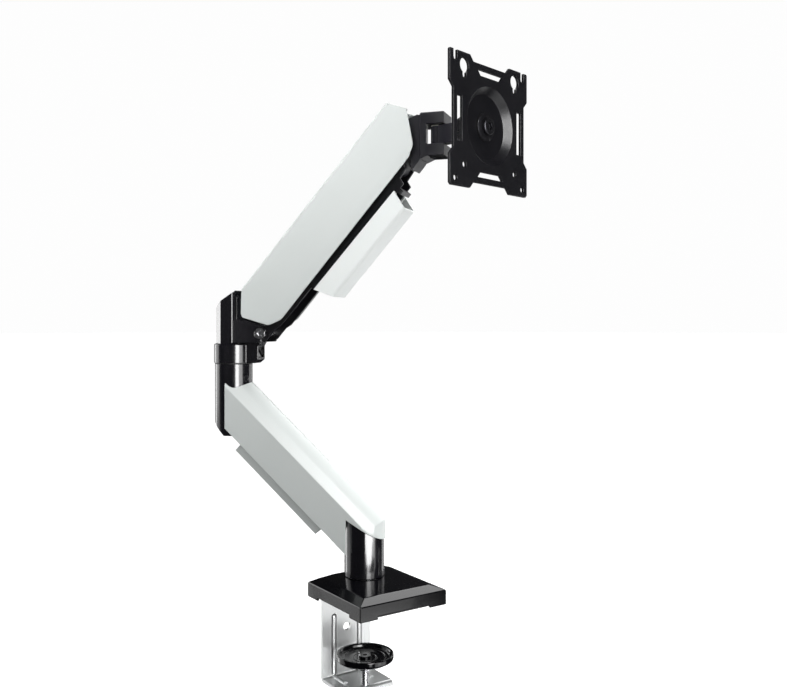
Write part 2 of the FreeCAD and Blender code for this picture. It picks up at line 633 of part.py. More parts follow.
AL = D.arm_len
ch = D.cheek_half
ci = D.cheek_half - D.cheek_skin
gap = D.pin_gap
cheeks = slab([(0, -13), (62, -13), (72, -19.5), (160, -19.5), (170, -13), (AL, -13), (AL, 13), (190, 13), (186, 15),
               (19, 15), (15, 13), (0, 13)], ch)
channel = cut(fuse(cheeks, cyl_y(13, ch, 0, 0), cyl_y(13, ch, AL, 0)),
              box(300, ci * 2, 60, -40, -ci, -48), box(60, ci * 2, 60, -42, -ci, -20), box(60, ci * 2, 60, AL - 18, -ci, -20),
              cyl_y(D.main_pin + gap, 30, 0, 0), cyl_y(D.main_pin + gap, 30, AL, 0), cyl(3.3, 20, 168, 0, 5),
              *[cyl(2.05, 60, px, -30, 4, "Y") for px in (40, 150)])
node("upper_arm_channel", channel, F_ARM)

uh = D.cover_half
us = D.cover_skin
OUT = [(1.8, 20.1), (223.6, 19.4), (231, 0.2), (210.6, -26.2), (199.2, -30.3), (5.5, -31.5), (-7.1, -25.4), (-19.5, 0.2), (-17.8, 3.8)]
side_view = slab(OUT, 40)
soften(side_view, 9, lambda e: is_y_edge(e) and (near(e, 5.5, -31.5, 0.1) or near(e, 210.6, -26.2, 0.1)))
soften(side_view, 7, lambda e: is_y_edge(e) and (near(e, -7.1, -25.4, 0.1) or near(e, 199.2, -30.3, 0.1)))
soften(side_view, 2, lambda e: is_y_edge(e) and (near(e, -19.5, 0.2, 0.1) or near(e, -17.8, 3.8, 0.1) or near(e, 231, 0.2, 0.1) or near(e, 223.6, 19.4, 0.1)))


def arm_section(half, top, low, drop, taper):
    b = new_body("section")
    pad(b, "YZ_Plane", [[(-half, -21), (-half, q(top) - 4), (-q(half) + 1.2, q(top) - 1.2), (-q(half) + 4, top),
                         (q(half) - 4, top), (q(half) - 1.2, q(top) - 1.2), (half, q(top) - 4), (half, -21),
                         (q(half) - taper, low), (q(half) - drop, q(low) - 0.01), (-q(half) + drop, q(low) - 0.01), (-q(half) + taper, low)]], 300, lift=-40)
    return b


shell_in = slab([(-40, -60), (-40, 18.5), (222.6, 17.8), (229.3, 0.4), (250, 0.4), (250, -60)], 30)
cover_shell = cut(common(arm_section(uh, 20.1, -32, 3, 1.0), side_view),
                  common(arm_section(uh - us, 60, -60, 3, 1.4), shell_in),
                  box(60, D.fork_half * 2 - 0.2, 60, 209, -D.fork_half + 0.1, -2), cyl(5.5, 20, 168, 0, 10))
node("upper_arm_cover", cover_shell, F_ARM)
node("cover_screws", group(*[fuse(cyl(2, 5.8, px, sy * 15.3 - 2.9, 4, "Y"), cyl(3.2, 1.2, px, (11.2 if sy > 0 else -12.4), 4, "Y"))
                             for px in (40, 150) for sy in (-1, 1)]), F_ARM)

sd = D.strut_drop
strut = cut(fuse(cyl(D.strut_radius, 106, 44, 0, sd, "X"), cyl(5, 11.8, 149, 0, sd, "X")),
            cyl(D.rod_radius + 0.06, 62, 42, 0, sd, "X"))
node("strut_cylinder", strut, F_ARM)
node("strut_rod", fuse(cyl(D.rod_radius, 80, -4, 0, sd, "X"), cyl(5.3, 4.4, -4.2, 0, sd, "X")), F_ARM)
node("tension_block", cut(box(20, ci * 2 - 0.6, 11, 157, -ci + 0.3, -17.5), box(6, 12.4, 20, 156, -6.2, -20), cyl(3.06, 40, 168, 0, -30)), F_ARM)
node("tension_screw", cut(fuse(cyl(3, 34.6, 168, 0, -19.4), cyl(5, 3, 168, 0, 15.1)), hexa(5, 3, 168, 0, 15.9)), F_ARM)

# ==== lower link and cable cover, drawn along +X from the link pivot ============

lk = D.link_half
li = D.link_half - D.link_skin
rails = slab([(0, -7.8), (13, -7.8), (19, -9.8), (66.5, -9.8), (68.5, -D.link_depth), (197, -D.link_depth), (199, -11), (209, -10), (209, 0), (AL, 7.8), (192, -1.2), (14, -1.2), (0, 7.8)], lk)
link = cut(fuse(rails, cyl_y(7.8, lk, 0, 0), cyl_y(7.8, lk, AL, 0)),
           box(400, li * 2, 60, -50, -li, -63.4), box(76, li * 2, 60, -50, -li, -30), box(76, li * 2, 60, 185, -li, -30),
           cyl_y(D.link_pin + gap, 30, 0, 0), cyl_y(D.link_pin + 0.5, 30, AL, 0))
node("lower_link_channel", fuse(link, box(4.4, lk * 2, 5, 187.6, -lk, -21.5)), F_LINK)
shell = slab([(67.3, -13.9), (186.9, -15), (181.1, -34.1), (75.5, -34.1)], 15.5)
soften(shell, 3.0, lambda e: not is_y_edge(e) and abs(e.Vertexes[0].Point.z + 34.1) < 0.05 and abs(e.Vertexes[-1].Point.z + 34.1) < 0.05)
node("upper_cable_cover", cut(shell, box(200, 27.8, 14, 30, -13.9, -32.5), box(200, (lk + 0.05) * 2, 30, 30, -lk - 0.05, -19)), F_LINK)

# ==== head ======================================================================

hx, hz = HEAD_X, HEAD_Z
kx, kz = HLINK_X, HLINK_Z
fl, fr, fb, ft = D.fork_left, D.fork_right, D.fork_low, D.fork_top
neck = slab([(hx, hz + 12.5), (178, 443.4), (fl, ft), (fl, fb - 2.5), (193.1, 405.2), (187.6, 398.6), (186.6, 399.6),
             (186, 414), (hx, hz - 12.2)], D.neck_half)
spine = slab([(hx - 8, hz), (hx + 8, hz), (kx + 8, kz), (kx - 8, kz)], 9.4)
fork = slab([(fl, ft), (fr, ft), (fr, fb), (202.5, fb), (fl, fb - 3)], D.fork_half)
soften(fork, 3, lambda e: is_y_edge(e) and near(e, 202.5, fb.v, 0.1))
ts = D.swivel_t
# the window's inner wall slants, so that the knuckle can swing further to one side
window = new_body("window")
pad(window, "XY_Plane", [[(D.window_left + 3.9, -30), (245, -30), (245, 30), (D.window_left - 10.3, 30)]], D.window_high - D.window_low, lift=D.window_low)
head = cut(fuse(neck, spine, fork, cyl_y(12.5, D.neck_half, hx, hz), cyl_y(8, 9.4, kx, kz)),
           window,
           cyl(D.swivel_pin, 60, ts, 0, 400), cyl(6.2, 5, ts, 0, ft - 3.6), hexa(12.4, 8, ts, 0, fb - 4.4),
           cyl_y(D.main_pin, 40, hx, hz), cyl_y(D.link_pin, 40, kx, kz),
           slab([(191.6, 452), (196.4, 452), (195.6, 449), (194, 448.1), (192.4, 449)], 30))
node("head_casting", head, F_ELBOW)
node("head_pivot_pin", cut(fuse(cyl_y(D.main_pin, 15.7, hx, hz), cyl(7, 1.7, hx, 15.6, hz, "Y"), cyl(7, 1.7, hx, -17.3, hz, "Y")),
                           hexa(5, 3, hx, -18.5, hz, "Y"), hexa(5, 3, hx, 15.6, hz, "Y")), F_ELBOW)
node("head_link_pin", cyl_y(D.link_pin, lk - 0.1, kx, kz), F_ELBOW)
node("swivel_bolt", cut(fuse(cyl(D.swivel_pin, 38.5, ts, 0, fb + 0.4), cyl(6, 3.2, ts, 0, ft - 3.4)), hexa(5, 3, ts, 0, ft - 2)), F_ELBOW)
node("swivel_nut", cut(hexa(12, 3.4, ts, 0, fb + 0.1), cyl(D.swivel_pin, 10, ts, 0, fb - 2)), F_ELBOW)

# ==== swivel and tilt, drawn from the swivel axis, screen side -Y ================

wl, wh = D.window_low, D.window_high
br = D.barrel_radius
pzc = D.plate_z
tr = -D.tilt_reach
knuckle = cut(fuse(cyl(br, wh - wl - 1.2, 0, 0, wl + 0.6), box(11, 24, wh - wl - 1.2, -5.5, -29, wl + 0.6), cyl(8.4, 16, -8, tr, pzc, "X"),
                   box(16, 9, wh - wl - 1.2, -8, -37, wl + 0.6)),
              cyl(D.swivel_pin + gap, 60, 0, 0, 400), cyl(D.tilt_pin + gap, 60, -30, tr, pzc, "X"))
node("swivel_knuckle", knuckle, F_SWIVEL)
node("swivel_washers", group(ring(D.swivel_pin + 0.2, br, wl + 0.05, 0.5), ring(D.swivel_pin + 0.2, br, wh - 0.55, 0.5)), F_SWIVEL)
cheek = [fuse(cyl(10, 3.6, x0, tr, pzc, "X"), box(3.6, 13.0, 20, x0, tr - 13.0, pzc - 10)) for x0 in (8.5, -12.1)]
bracket = cut(fuse(turn_x(cyl(18, 4, 0, 0, 46), pzc), *cheek), cyl(D.tilt_pin, 60, -30, tr, pzc, "X"), turn_x(cyl(5, 40, 0, 0, 30), pzc))
node("tilt_bracket", bracket, F_SWIVEL)
node("tilt_bolt", cut(fuse(cyl(D.tilt_pin, 30.5, -17.5, tr, pzc, "X"), cyl(6.5, 4, 12.2, tr, pzc, "X")), turn_y_hex(5, 14.4, tr, pzc)), F_SWIVEL)
node("tilt_nut", cut(nut_x(13, 5, -17.2, tr, pzc), cyl(D.tilt_pin, 20, -25, tr, pzc, "X")), F_SWIVEL)
node("tilt_washers", group(cut(cyl(9, 0.36, 8.07, tr, pzc, "X"), cyl(D.tilt_pin + 0.2, 4, 7, tr, pzc, "X")),
                           cut(cyl(9, 0.36, -8.43, tr, pzc, "X"), cyl(D.tilt_pin + 0.2, 4, -10, tr, pzc, "X"))), F_SWIVEL)

# ==== screen plate ===============================================================

pr_ = D.plate_reach
tk = D.sheet_thick
hv, hs = D.vesa_big / 2, D.vesa_small / 2
W2, T2 = D.plate_wide / 2, D.plate_tall / 2
plate = new_body("plate")
dr = D.dish_radius


def mirrored(pts):
    return pts + [(-q(x), z) for x, z in reversed(pts)]


right = [(24.5, T2 - 5.2), (29.5, T2), (hv - 2.5, T2), (hv - 2.5, hv), (hv - 1.7, hv - 1.8), (hv, hv - 2.5), (hv + 1.7, hv - 1.8), (hv + 2.5, hv), (hv + 2.5, T2),
         (W2 - 1, T2), (W2, T2 - 1), (W2, 30.4), (W2 - 5.2, 25.2), (W2 - 5.2, -25.2), (W2, -30.4), (W2, -T2 + 2),
         (W2 - 2, -T2), (29.5, -T2), (24.5, -T2 + 5.2)]
pad(plate, "XZ_Plane", [mirrored(right)], tk, lift=pr_ - tk)
keys = []
for sx in (-1, 1):
    keys += [(sx * hs, -hs, D.vesa_hole), (sx * hv, -hv, D.vesa_hole)]
pocket(plate, "XZ_Plane", keys + [(0, 0, dr + 0.9),
       [(-18.5, 46), (18.5, 46), (14.5, 41.3), (-14.5, 41.3)], [(-18.5, -46), (18.5, -46), (14.5, -41.5), (-14.5, -41.5)],
       [(41, 19), (47.5, 19), (47.5, -19), (41, -19)], [(-41, 19), (-47.5, 19), (-47.5, -19), (-41, -19)]],
       20, sym=True, lift=pr_ - tk / 2)
for sx in (-1, 1):
    pocket(plate, "XZ_Plane", [[(sx * hs - 2.5, hs - 0.0), (sx * hs - 1.8, hs - 1.8), (sx * hs, hs - 2.5), (sx * hs + 1.8, hs - 1.8),
                                (sx * hs + 2.5, hs - 0.0), (sx * hs + 2.5, hs + 8), (sx * hs - 2.5, hs + 8)]], 20, sym=True, lift=pr_ - tk / 2)
    pocket(plate, "XZ_Plane", [(sx * hs, hs + 8, D.keyhole)], 20, sym=True, lift=pr_ - tk / 2)
dd = D.dish_depth + 2
pressed = turned([(5.06, pr_ - dd - tk), (26.8, pr_ - dd - tk), (dr - 1.2, pr_ - tk), (dr + 1.5, pr_ - tk), (dr + 1.5, pr_), (dr, pr_),
                  (28.2, pr_ - dd), (5.06, pr_ - dd)], "pressed")
flat = group(plate)
flat.Placement = Plc(V(0, 0, pzc.v), Rot())
node("vesa_plate", fuse(flat, turn_x(pressed, pzc)), F_SWIVEL)
node("rear_friction_disc", cut(turn_x(cyl(17.6, 0.4, 0, 0, 50.05), pzc), turn_x(cyl(5.3, 20, 0, 0, 40), pzc)), F_SWIVEL)
node("friction_disc", turn_x(ring(5.3, 12.6, pr_ - dd + 0.05, 0.8), pzc), F_SWIVEL)
node("cup_washer", turn_x(turned([(5.3, pr_ - dd + 0.9), (12.4, pr_ - dd + 0.9), (12.4, pr_ - dd + 1.6), (8.6, pr_ - dd + 2.6), (5.3, pr_ - dd + 2.6)], "cup"), pzc), F_SWIVEL)
node("centre_bolt", cut(fuse(turn_x(cyl(5, 10, 0, 0, 46), pzc), turn_x(turned([(0, pr_ - dd + 2.65), (7.5, pr_ - dd + 2.65), (7.5, pr_ - 1.4), (6.5, pr_ - 0.4), (0, pr_ - 0.4)], "bolt"), pzc)),
                        turn_x(hexa(6, 3, 0, 0, 56), pzc)), F_SWIVEL)

# ==== check and write ============================================================

doc.recompute()
bad = [o.Name + " " + ",".join(o.State) for o in doc.Objects if "Invalid" in o.State or "Error" in o.State]
if bad:
    raise RuntimeError("failed objects: " + "; ".join(bad))
os.makedirs("parts", exist_ok=True)
for name, obj in NODES:
    shp = obj.Shape
    if shp.isNull() or not shp.isValid() or not shp.Solids:
        raise RuntimeError("bad shape: " + name)
    shp.exportStep("parts/%s.step" % name)
    bb = shp.BoundBox
    print("%-22s solids %d volume %10.1f  x %7.1f %7.1f  y %7.1f %7.1f  z %7.1f %7.1f" % (
        name, len(shp.Solids), shp.Volume, bb.XMin, bb.XMax, bb.YMin, bb.YMax, bb.ZMin, bb.ZMax))
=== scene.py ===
import bpy
import bmesh
import json
import math
from mathutils import Matrix, Vector

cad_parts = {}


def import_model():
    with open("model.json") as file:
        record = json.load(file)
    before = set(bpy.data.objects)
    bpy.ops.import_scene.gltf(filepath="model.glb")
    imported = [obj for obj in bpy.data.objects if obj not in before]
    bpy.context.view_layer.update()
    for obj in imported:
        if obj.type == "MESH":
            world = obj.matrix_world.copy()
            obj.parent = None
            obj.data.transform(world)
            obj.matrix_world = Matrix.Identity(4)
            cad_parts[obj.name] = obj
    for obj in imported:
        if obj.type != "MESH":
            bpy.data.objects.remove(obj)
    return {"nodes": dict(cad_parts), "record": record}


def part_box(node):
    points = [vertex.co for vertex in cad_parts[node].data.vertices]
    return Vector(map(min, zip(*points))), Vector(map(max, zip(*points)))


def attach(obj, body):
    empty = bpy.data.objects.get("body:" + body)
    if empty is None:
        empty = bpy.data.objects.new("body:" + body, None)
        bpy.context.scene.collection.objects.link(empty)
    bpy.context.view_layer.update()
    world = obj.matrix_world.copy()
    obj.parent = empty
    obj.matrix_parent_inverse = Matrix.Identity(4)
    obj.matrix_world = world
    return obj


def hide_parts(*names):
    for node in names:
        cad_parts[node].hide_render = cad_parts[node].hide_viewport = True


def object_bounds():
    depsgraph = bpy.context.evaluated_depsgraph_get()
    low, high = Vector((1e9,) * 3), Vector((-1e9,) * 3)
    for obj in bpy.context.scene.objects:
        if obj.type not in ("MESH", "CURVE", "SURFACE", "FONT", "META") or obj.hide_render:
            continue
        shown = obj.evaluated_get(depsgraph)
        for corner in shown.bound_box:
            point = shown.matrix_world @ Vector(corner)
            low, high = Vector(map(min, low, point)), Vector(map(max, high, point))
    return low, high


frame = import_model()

cad_lo, cad_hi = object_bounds()
scene = bpy.context.scene
NODES = frame["nodes"]
BODY_OF = {n: b for b, ns in frame["record"]["behaviour"]["bodies"].items() for n in ns}
SLOT_OF = {s["node"]: s["material_slot"] for s in frame["record"]["subparts"]}
MM = 0.001


# ---- camera, floor and light --------------------------------------------------------

VIEW = Vector((0.56315, 0.82635, 0.0))
RIGHT = Vector((0.82635, -0.56315, 0.0))

cam_data = bpy.data.cameras.new("camera")
cam = bpy.data.objects.new("camera", cam_data)
scene.collection.objects.link(cam)
cam.location = (-0.4603, -0.7251, 0.2652)
cam.rotation_euler = (math.radians(90), 0, math.radians(-34.27))
cam_data.sensor_width = 36.0
cam_data.lens = 41.12
cam_data.shift_y = -0.0337
cam_data.clip_start = 0.01
cam_data.clip_end = 60
scene.camera = cam
scene.view_settings.view_transform = "Standard"
scene.view_settings.look = "None"


class Tree:
    """Short hand for a node tree."""

    def __init__(self, tree):
        self.t = tree

    def new(self, kind, **sockets):
        n = self.t.nodes.new(kind)
        for k, v in sockets.items():
            key = int(k[1:]) if k[0] == "_" and k[1:].isdigit() else k.replace("_", " ")
            n.inputs[key].default_value = v
        return n

    def link(self, a, b):
        self.t.links.new(a, b)


def world():
    w = bpy.data.worlds.new("studio")
    scene.world = w
    w.use_nodes = True
    w.node_tree.nodes.clear()
    t = Tree(w.node_tree)
    out = t.new("ShaderNodeOutputWorld")
    path = t.new("ShaderNodeLightPath")
    # soft light on matt surfaces, stronger from above
    plain = t.new("ShaderNodeBackground", Color=(1.0, 1.0, 1.0, 1))
    up = t.new("ShaderNodeSeparateXYZ")
    rise = t.new("ShaderNodeMapRange")
    rise.inputs["From Min"].default_value = -1.0
    rise.inputs["From Max"].default_value = 1.0
    rise.inputs["To Min"].default_value = 0.20
    rise.inputs["To Max"].default_value = 0.86
    seen = t.new("ShaderNodeBackground", Color=(1.0, 1.0, 1.0, 1), Strength=0.985)
    # what polished surfaces reflect: a white wall behind the object, a dark room in front of it
    co = t.new("ShaderNodeTexCoord")
    dot = t.new("ShaderNodeVectorMath")
    dot.operation = "DOT_PRODUCT"
    dot.inputs[1].default_value = (VIEW.x, VIEW.y, 0.0)
    ramp = t.new("ShaderNodeMapRange")
    ramp.interpolation_type = "SMOOTHSTEP"
    ramp.inputs["From Min"].default_value = 0.15
    ramp.inputs["From Max"].default_value = 0.85
    ramp.inputs["To Min"].default_value = 0.012
    ramp.inputs["To Max"].default_value = 0.02
    t.link(co.outputs["Generated"], up.inputs[0])
    t.link(up.outputs["Z"], rise.inputs["Value"])
    t.link(rise.outputs["Result"], plain.inputs["Strength"])
    t.link(co.outputs["Generated"], dot.inputs[0])
    t.link(dot.outputs["Value"], ramp.inputs["Value"])
    shine = t.new("ShaderNodeBackground", Color=(0.96, 0.97, 1.0, 1))
    t.link(ramp.outputs["Result"], shine.inputs["Strength"])
    a, b = t.new("ShaderNodeMixShader"), t.new("ShaderNodeMixShader")
    t.link(path.outputs["Is Glossy Ray"], a.inputs[0])
    t.link(plain.outputs[0], a.inputs[1])
    t.link(shine.outputs[0], a.inputs[2])
    t.link(path.outputs["Is Camera Ray"], b.inputs[0])
    t.link(a.outputs[0], b.inputs[1])
    t.link(seen.outputs[0], b.inputs[2])
    t.link(b.outputs[0], out.inputs[0])


world()


def softbox(name, angle, dist, z, wide, tall, radiance, aimed=False, sees="all", spread=180):
    """angle: degrees to the right of the camera, as seen from the post."""
    a = math.radians(angle)
    d = -VIEW * math.cos(a) + RIGHT * math.sin(a)
    data = bpy.data.lights.new(name, "AREA")
    data.shape = "RECTANGLE"
    data.size, data.size_y = wide, tall
    data.energy = radiance * wide * tall * math.pi
    data.spread = math.radians(spread)
    o = bpy.data.objects.new(name, data)
    scene.collection.objects.link(o)
    o.location = d * dist + Vector((0, 0, z))
    aim = Vector((0, 0, 0.18 if aimed else z)) - o.location
    o.rotation_euler = aim.to_track_quat("-Z", "Y").to_euler()
    o.visible_camera = False
    o.visible_diffuse = sees != "shine"
    o.visible_glossy = sees != "wash"
    return o


# broad light that shapes the pale covers, strongest on the upper arm
softbox("wash_front", -30, 1.15, 0.60, 0.9, 0.5, 1.02, sees="wash", spread=50)
softbox("wash_right", 85, 0.9, 0.14, 0.5, 0.4, 2.2, sees="wash", spread=90)
softbox("wash_top", 100, 0.5, 1.9, 1.3, 1.3, 4.8, aimed=True, sees="wash")
# strips that glossy pieces mirror; those seen from above the desk line reach far below it
softbox("key", 27, 1.7, 0.75, 0.66, 1.80, 15.0, sees="shine")
softbox("key_low", 25, 1.7, -0.45, 0.30, 0.60, 4.5, sees="shine")
softbox("key_side", 49, 1.7, 0.50, 0.62, 1.10, 4.5, sees="shine")
softbox("key_side_low", 62, 1.7, -0.40, 0.40, 0.70, 1.6, sees="shine")
softbox("front_left", -36, 1.7, 0.60, 1.10, 1.10, 0.06, sees="shine")
softbox("edge_right", 132, 1.6, 0.28, 0.40, 1.8, 1.8, sees="shine")
softbox("far_right", 158, 1.6, 0.28, 0.30, 1.4, 2.0, sees="shine")
softbox("side_left", -104, 1.8, 0.55, 0.95, 1.10, 2.0, sees="shine")
softbox("side_left_low", -100, 1.8, -0.45, 0.95, 0.90, 0.95, sees="shine")
softbox("edge_left", -126, 1.6, 0.12, 0.50, 1.9, 3.2, sees="shine")
softbox("low_right", 68, 1.5, -0.88, 1.40, 0.74, 2.1, sees="shine")
softbox("back_high", 162, 1.5, 1.62, 1.3, 0.9, 2.8, aimed=True, sees="shine")

# ---- materials ----------------------------------------------------------------------


def surface(name, dark, light, rough, metallic=0.0, ior=1.5, coat=0.0, coat_rough=0.08, grain=1500.0, bump=0.05,
            stretch=(1, 1, 1), cloud=30.0, mottle=0.0, edge_highlight=0.0):
    """A procedural surface: two close colours in a slow cloud, roughness that varies, and a fine relief."""
    m = bpy.data.materials.new(name)
    m.use_nodes = True
    m.node_tree.nodes.clear()
    t = Tree(m.node_tree)
    out = t.new("ShaderNodeOutputMaterial")
    p = t.new("ShaderNodeBsdfPrincipled")
    p.inputs["Metallic"].default_value = metallic
    p.inputs["IOR"].default_value = ior
    p.inputs["Coat Weight"].default_value = coat
    p.inputs["Coat Roughness"].default_value = coat_rough
    co = t.new("ShaderNodeTexCoord")
    mp = t.new("ShaderNodeMapping")
    mp.inputs["Scale"].default_value = stretch
    t.link(co.outputs["Object"], mp.inputs["Vector"])
    slow = t.new("ShaderNodeTexNoise", Scale=cloud, Detail=4.0, Roughness=0.55)
    fine = t.new("ShaderNodeTexNoise", Scale=grain, Detail=2.0, Roughness=0.6)
    t.link(co.outputs["Object"], slow.inputs["Vector"])
    t.link(mp.outputs["Vector"], fine.inputs["Vector"])
    mixed = t.new("ShaderNodeMix")
    mixed.data_type = "RGBA"
    mixed.inputs[6].default_value = (*dark, 1)
    mixed.inputs[7].default_value = (*light, 1)
    amount = t.new("ShaderNodeMath")
    amount.operation = "MULTIPLY_ADD"
    amount.inputs[1].default_value = mottle
    t.link(fine.outputs["Fac"], amount.inputs[0])
    t.link(slow.outputs["Fac"], amount.inputs[2])
    t.link(amount.outputs[0], mixed.inputs[0])
    last = mixed.outputs[2]
    if edge_highlight > 0:
        # painted highlight: edges made a little brighter in colour where the surface turns outwards
        geo = t.new("ShaderNodeNewGeometry")
        edge = t.new("ShaderNodeMapRange")
        edge.inputs["From Min"].default_value = 0.53
        edge.inputs["From Max"].default_value = 0.60
        edge.inputs["To Max"].default_value = edge_highlight
        t.link(geo.outputs["Pointiness"], edge.inputs["Value"])
        highlight_mix = t.new("ShaderNodeMix")
        highlight_mix.data_type = "RGBA"
        highlight_mix.inputs[7].default_value = (0.42, 0.42, 0.43, 1)
        t.link(edge.outputs[0], highlight_mix.inputs[0])
        t.link(last, highlight_mix.inputs[6])
        last = highlight_mix.outputs[2]
    t.link(last, p.inputs["Base Color"])
    rr = t.new("ShaderNodeMapRange")
    rr.inputs["From Min"].default_value = 0.25
    rr.inputs["From Max"].default_value = 0.75
    rr.inputs["To Min"].default_value = rough[0]
    rr.inputs["To Max"].default_value = rough[1]
    rsum = t.new("ShaderNodeMath")
    rsum.operation = "ADD"
    half_a, half_b = t.new("ShaderNodeMath"), t.new("ShaderNodeMath")
    for h in (half_a, half_b):
        h.operation = "MULTIPLY"
        h.inputs[1].default_value = 0.5
    t.link(slow.outputs["Fac"], half_a.inputs[0])
    t.link(fine.outputs["Fac"], half_b.inputs[0])
    t.link(half_a.outputs[0], rsum.inputs[0])
    t.link(half_b.outputs[0], rsum.inputs[1])
    t.link(rsum.outputs[0], rr.inputs["Value"])
    t.link(rr.outputs[0], p.inputs["Roughness"])
    b = t.new("ShaderNodeBump", Strength=bump, Distance=0.0002)
    t.link(fine.outputs["Fac"], b.inputs["Height"])
    t.link(b.outputs["Normal"], p.inputs["Normal"])
    t.link(p.outputs[0], out.inputs[0])
    return m


MAT = {
    "white_cover": surface("white_cover", (0.635, 0.675, 0.660), (0.700, 0.735, 0.722), (0.30, 0.42), grain=2600, bump=0.10, cloud=9, coat=0.12, coat_rough=0.25),
    "white_clip": surface("white_clip", (0.82, 0.86, 0.845), (0.88, 0.91, 0.90), (0.32, 0.44), grain=2600, bump=0.10, cloud=12, coat=0.10, coat_rough=0.25),
    # painted shade: a darker grey copy of the white clip plastic, standing in for the shade on the cable cover under
    # the lower arm
    "grey_cover": surface("grey_cover", (0.50, 0.53, 0.52), (0.57, 0.60, 0.59), (0.34, 0.46), grain=2600, bump=0.10, cloud=12),
    "black_gloss": surface("black_gloss", (0.0014, 0.0014, 0.0022), (0.0034, 0.0034, 0.0046), (0.10, 0.18), ior=1.40, coat=0.25, coat_rough=0.04, grain=500, bump=0.03, cloud=20),
    # worn / edge_highlight: painted edge highlight, convex edges coloured lighter grey
    "black_casting": surface("black_casting", (0.0035, 0.0033, 0.0052), (0.0090, 0.0085, 0.0120), (0.15, 0.25), ior=1.62, coat=0.4, coat_rough=0.08, grain=420, bump=0.035, cloud=26, edge_highlight=0.10),
    "satin_casting": surface("satin_casting", (0.0100, 0.0100, 0.0150), (0.0210, 0.0200, 0.0270), (0.34, 0.48), ior=1.50, grain=1700, bump=0.22, cloud=40, edge_highlight=0.22),
    "black_satin": surface("black_satin", (0.0030, 0.0030, 0.0045), (0.0070, 0.0068, 0.0095), (0.27, 0.38), ior=1.50, grain=1900, bump=0.20, cloud=40, edge_highlight=0.25),
    "zinc": surface("zinc", (0.46, 0.47, 0.47), (0.64, 0.65, 0.65), (0.34, 0.46), metallic=1.0, grain=420, bump=0.08, stretch=(6, 6, 0.35), cloud=36, mottle=0.3),
    "bright_steel": surface("bright_steel", (0.48, 0.48, 0.50), (0.70, 0.70, 0.72), (0.14, 0.30), metallic=1.0, grain=900, bump=0.12, stretch=(0.2, 0.2, 6), cloud=40, mottle=0.3),
    "black_steel": surface("black_steel", (0.020, 0.020, 0.024), (0.045, 0.044, 0.050), (0.26, 0.42), metallic=0.85, grain=1200, bump=0.15, cloud=60, edge_highlight=0.3),
    "bearing_plastic": surface("bearing_plastic", (0.60, 0.60, 0.54), (0.72, 0.72, 0.66), (0.35, 0.48), grain=1500, bump=0.10, cloud=40),
    "foam": surface("foam", (0.014, 0.014, 0.014), (0.035, 0.035, 0.035), (0.75, 0.95), grain=1900, bump=0.8, cloud=80, mottle=0.4),
    "black_plastic": surface("black_plastic", (0.006, 0.006, 0.0065), (0.013, 0.013, 0.014), (0.38, 0.52), grain=1500, bump=0.35, cloud=40),
}

floor_mat = surface("floor", (0.88, 0.88, 0.88), (0.91, 0.91, 0.91), (0.75, 0.85), grain=40, bump=0.0, cloud=0.6)
shader = [n for n in floor_mat.node_tree.nodes if n.type == "BSDF_PRINCIPLED"][0]
shader.inputs["Emission Color"].default_value = (1, 1, 1, 1)
shader.inputs["Emission Strength"].default_value = 0.42
mesh = bpy.data.meshes.new("floor")
bm = bmesh.new()
bmesh.ops.create_circle(bm, cap_ends=True, segments=96, radius=25)
bmesh.ops.translate(bm, vec=(0, 0, cad_lo.z - 0.0004), verts=bm.verts)
bm.to_mesh(mesh)
bm.free()
mesh.materials.append(floor_mat)
floor = bpy.data.objects.new("floor", mesh)
scene.collection.objects.link(floor)
floor.visible_diffuse = False
floor.visible_glossy = False
floor.visible_shadow = False


# ---- pieces ---------------------------------------------------------------------------


def finish_mesh(mesh, sharp=40):
    for p in mesh.polygons:
        p.use_smooth = True
    b = bmesh.new()
    b.from_mesh(mesh)
    for e in b.edges:
        e.smooth = not (len(e.link_faces) == 2 and e.calc_face_angle(0) > math.radians(sharp))
    b.to_mesh(mesh)
    b.free()


def piece(name, mesh, nodes, material=None, weighted=True):
    """Stands a new mesh in for one or more nodes of one body."""
    nodes = [nodes] if isinstance(nodes, str) else nodes
    o = bpy.data.objects.new(name, mesh)
    scene.collection.objects.link(o)
    mesh.materials.clear()
    mesh.materials.append(MAT[material or SLOT_OF[nodes[0]]])
    if weighted:
        w = o.modifiers.new("normals", "WEIGHTED_NORMAL")
        w.keep_sharp = True
        w.weight = 60
    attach(o, BODY_OF[nodes[0]])
    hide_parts(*nodes)
    return o


def clean(node):
    """A node's own surface as faces without the triangles' inner edges."""
    b = bmesh.new()
    b.from_mesh(NODES[node].data)
    bmesh.ops.remove_doubles(b, verts=b.verts, dist=2e-6)
    bmesh.ops.dissolve_degenerate(b, dist=2e-6, edges=b.edges)
    bmesh.ops.dissolve_limit(b, angle_limit=math.radians(0.25), verts=b.verts, edges=b.edges, delimit={"NORMAL"})
    return b


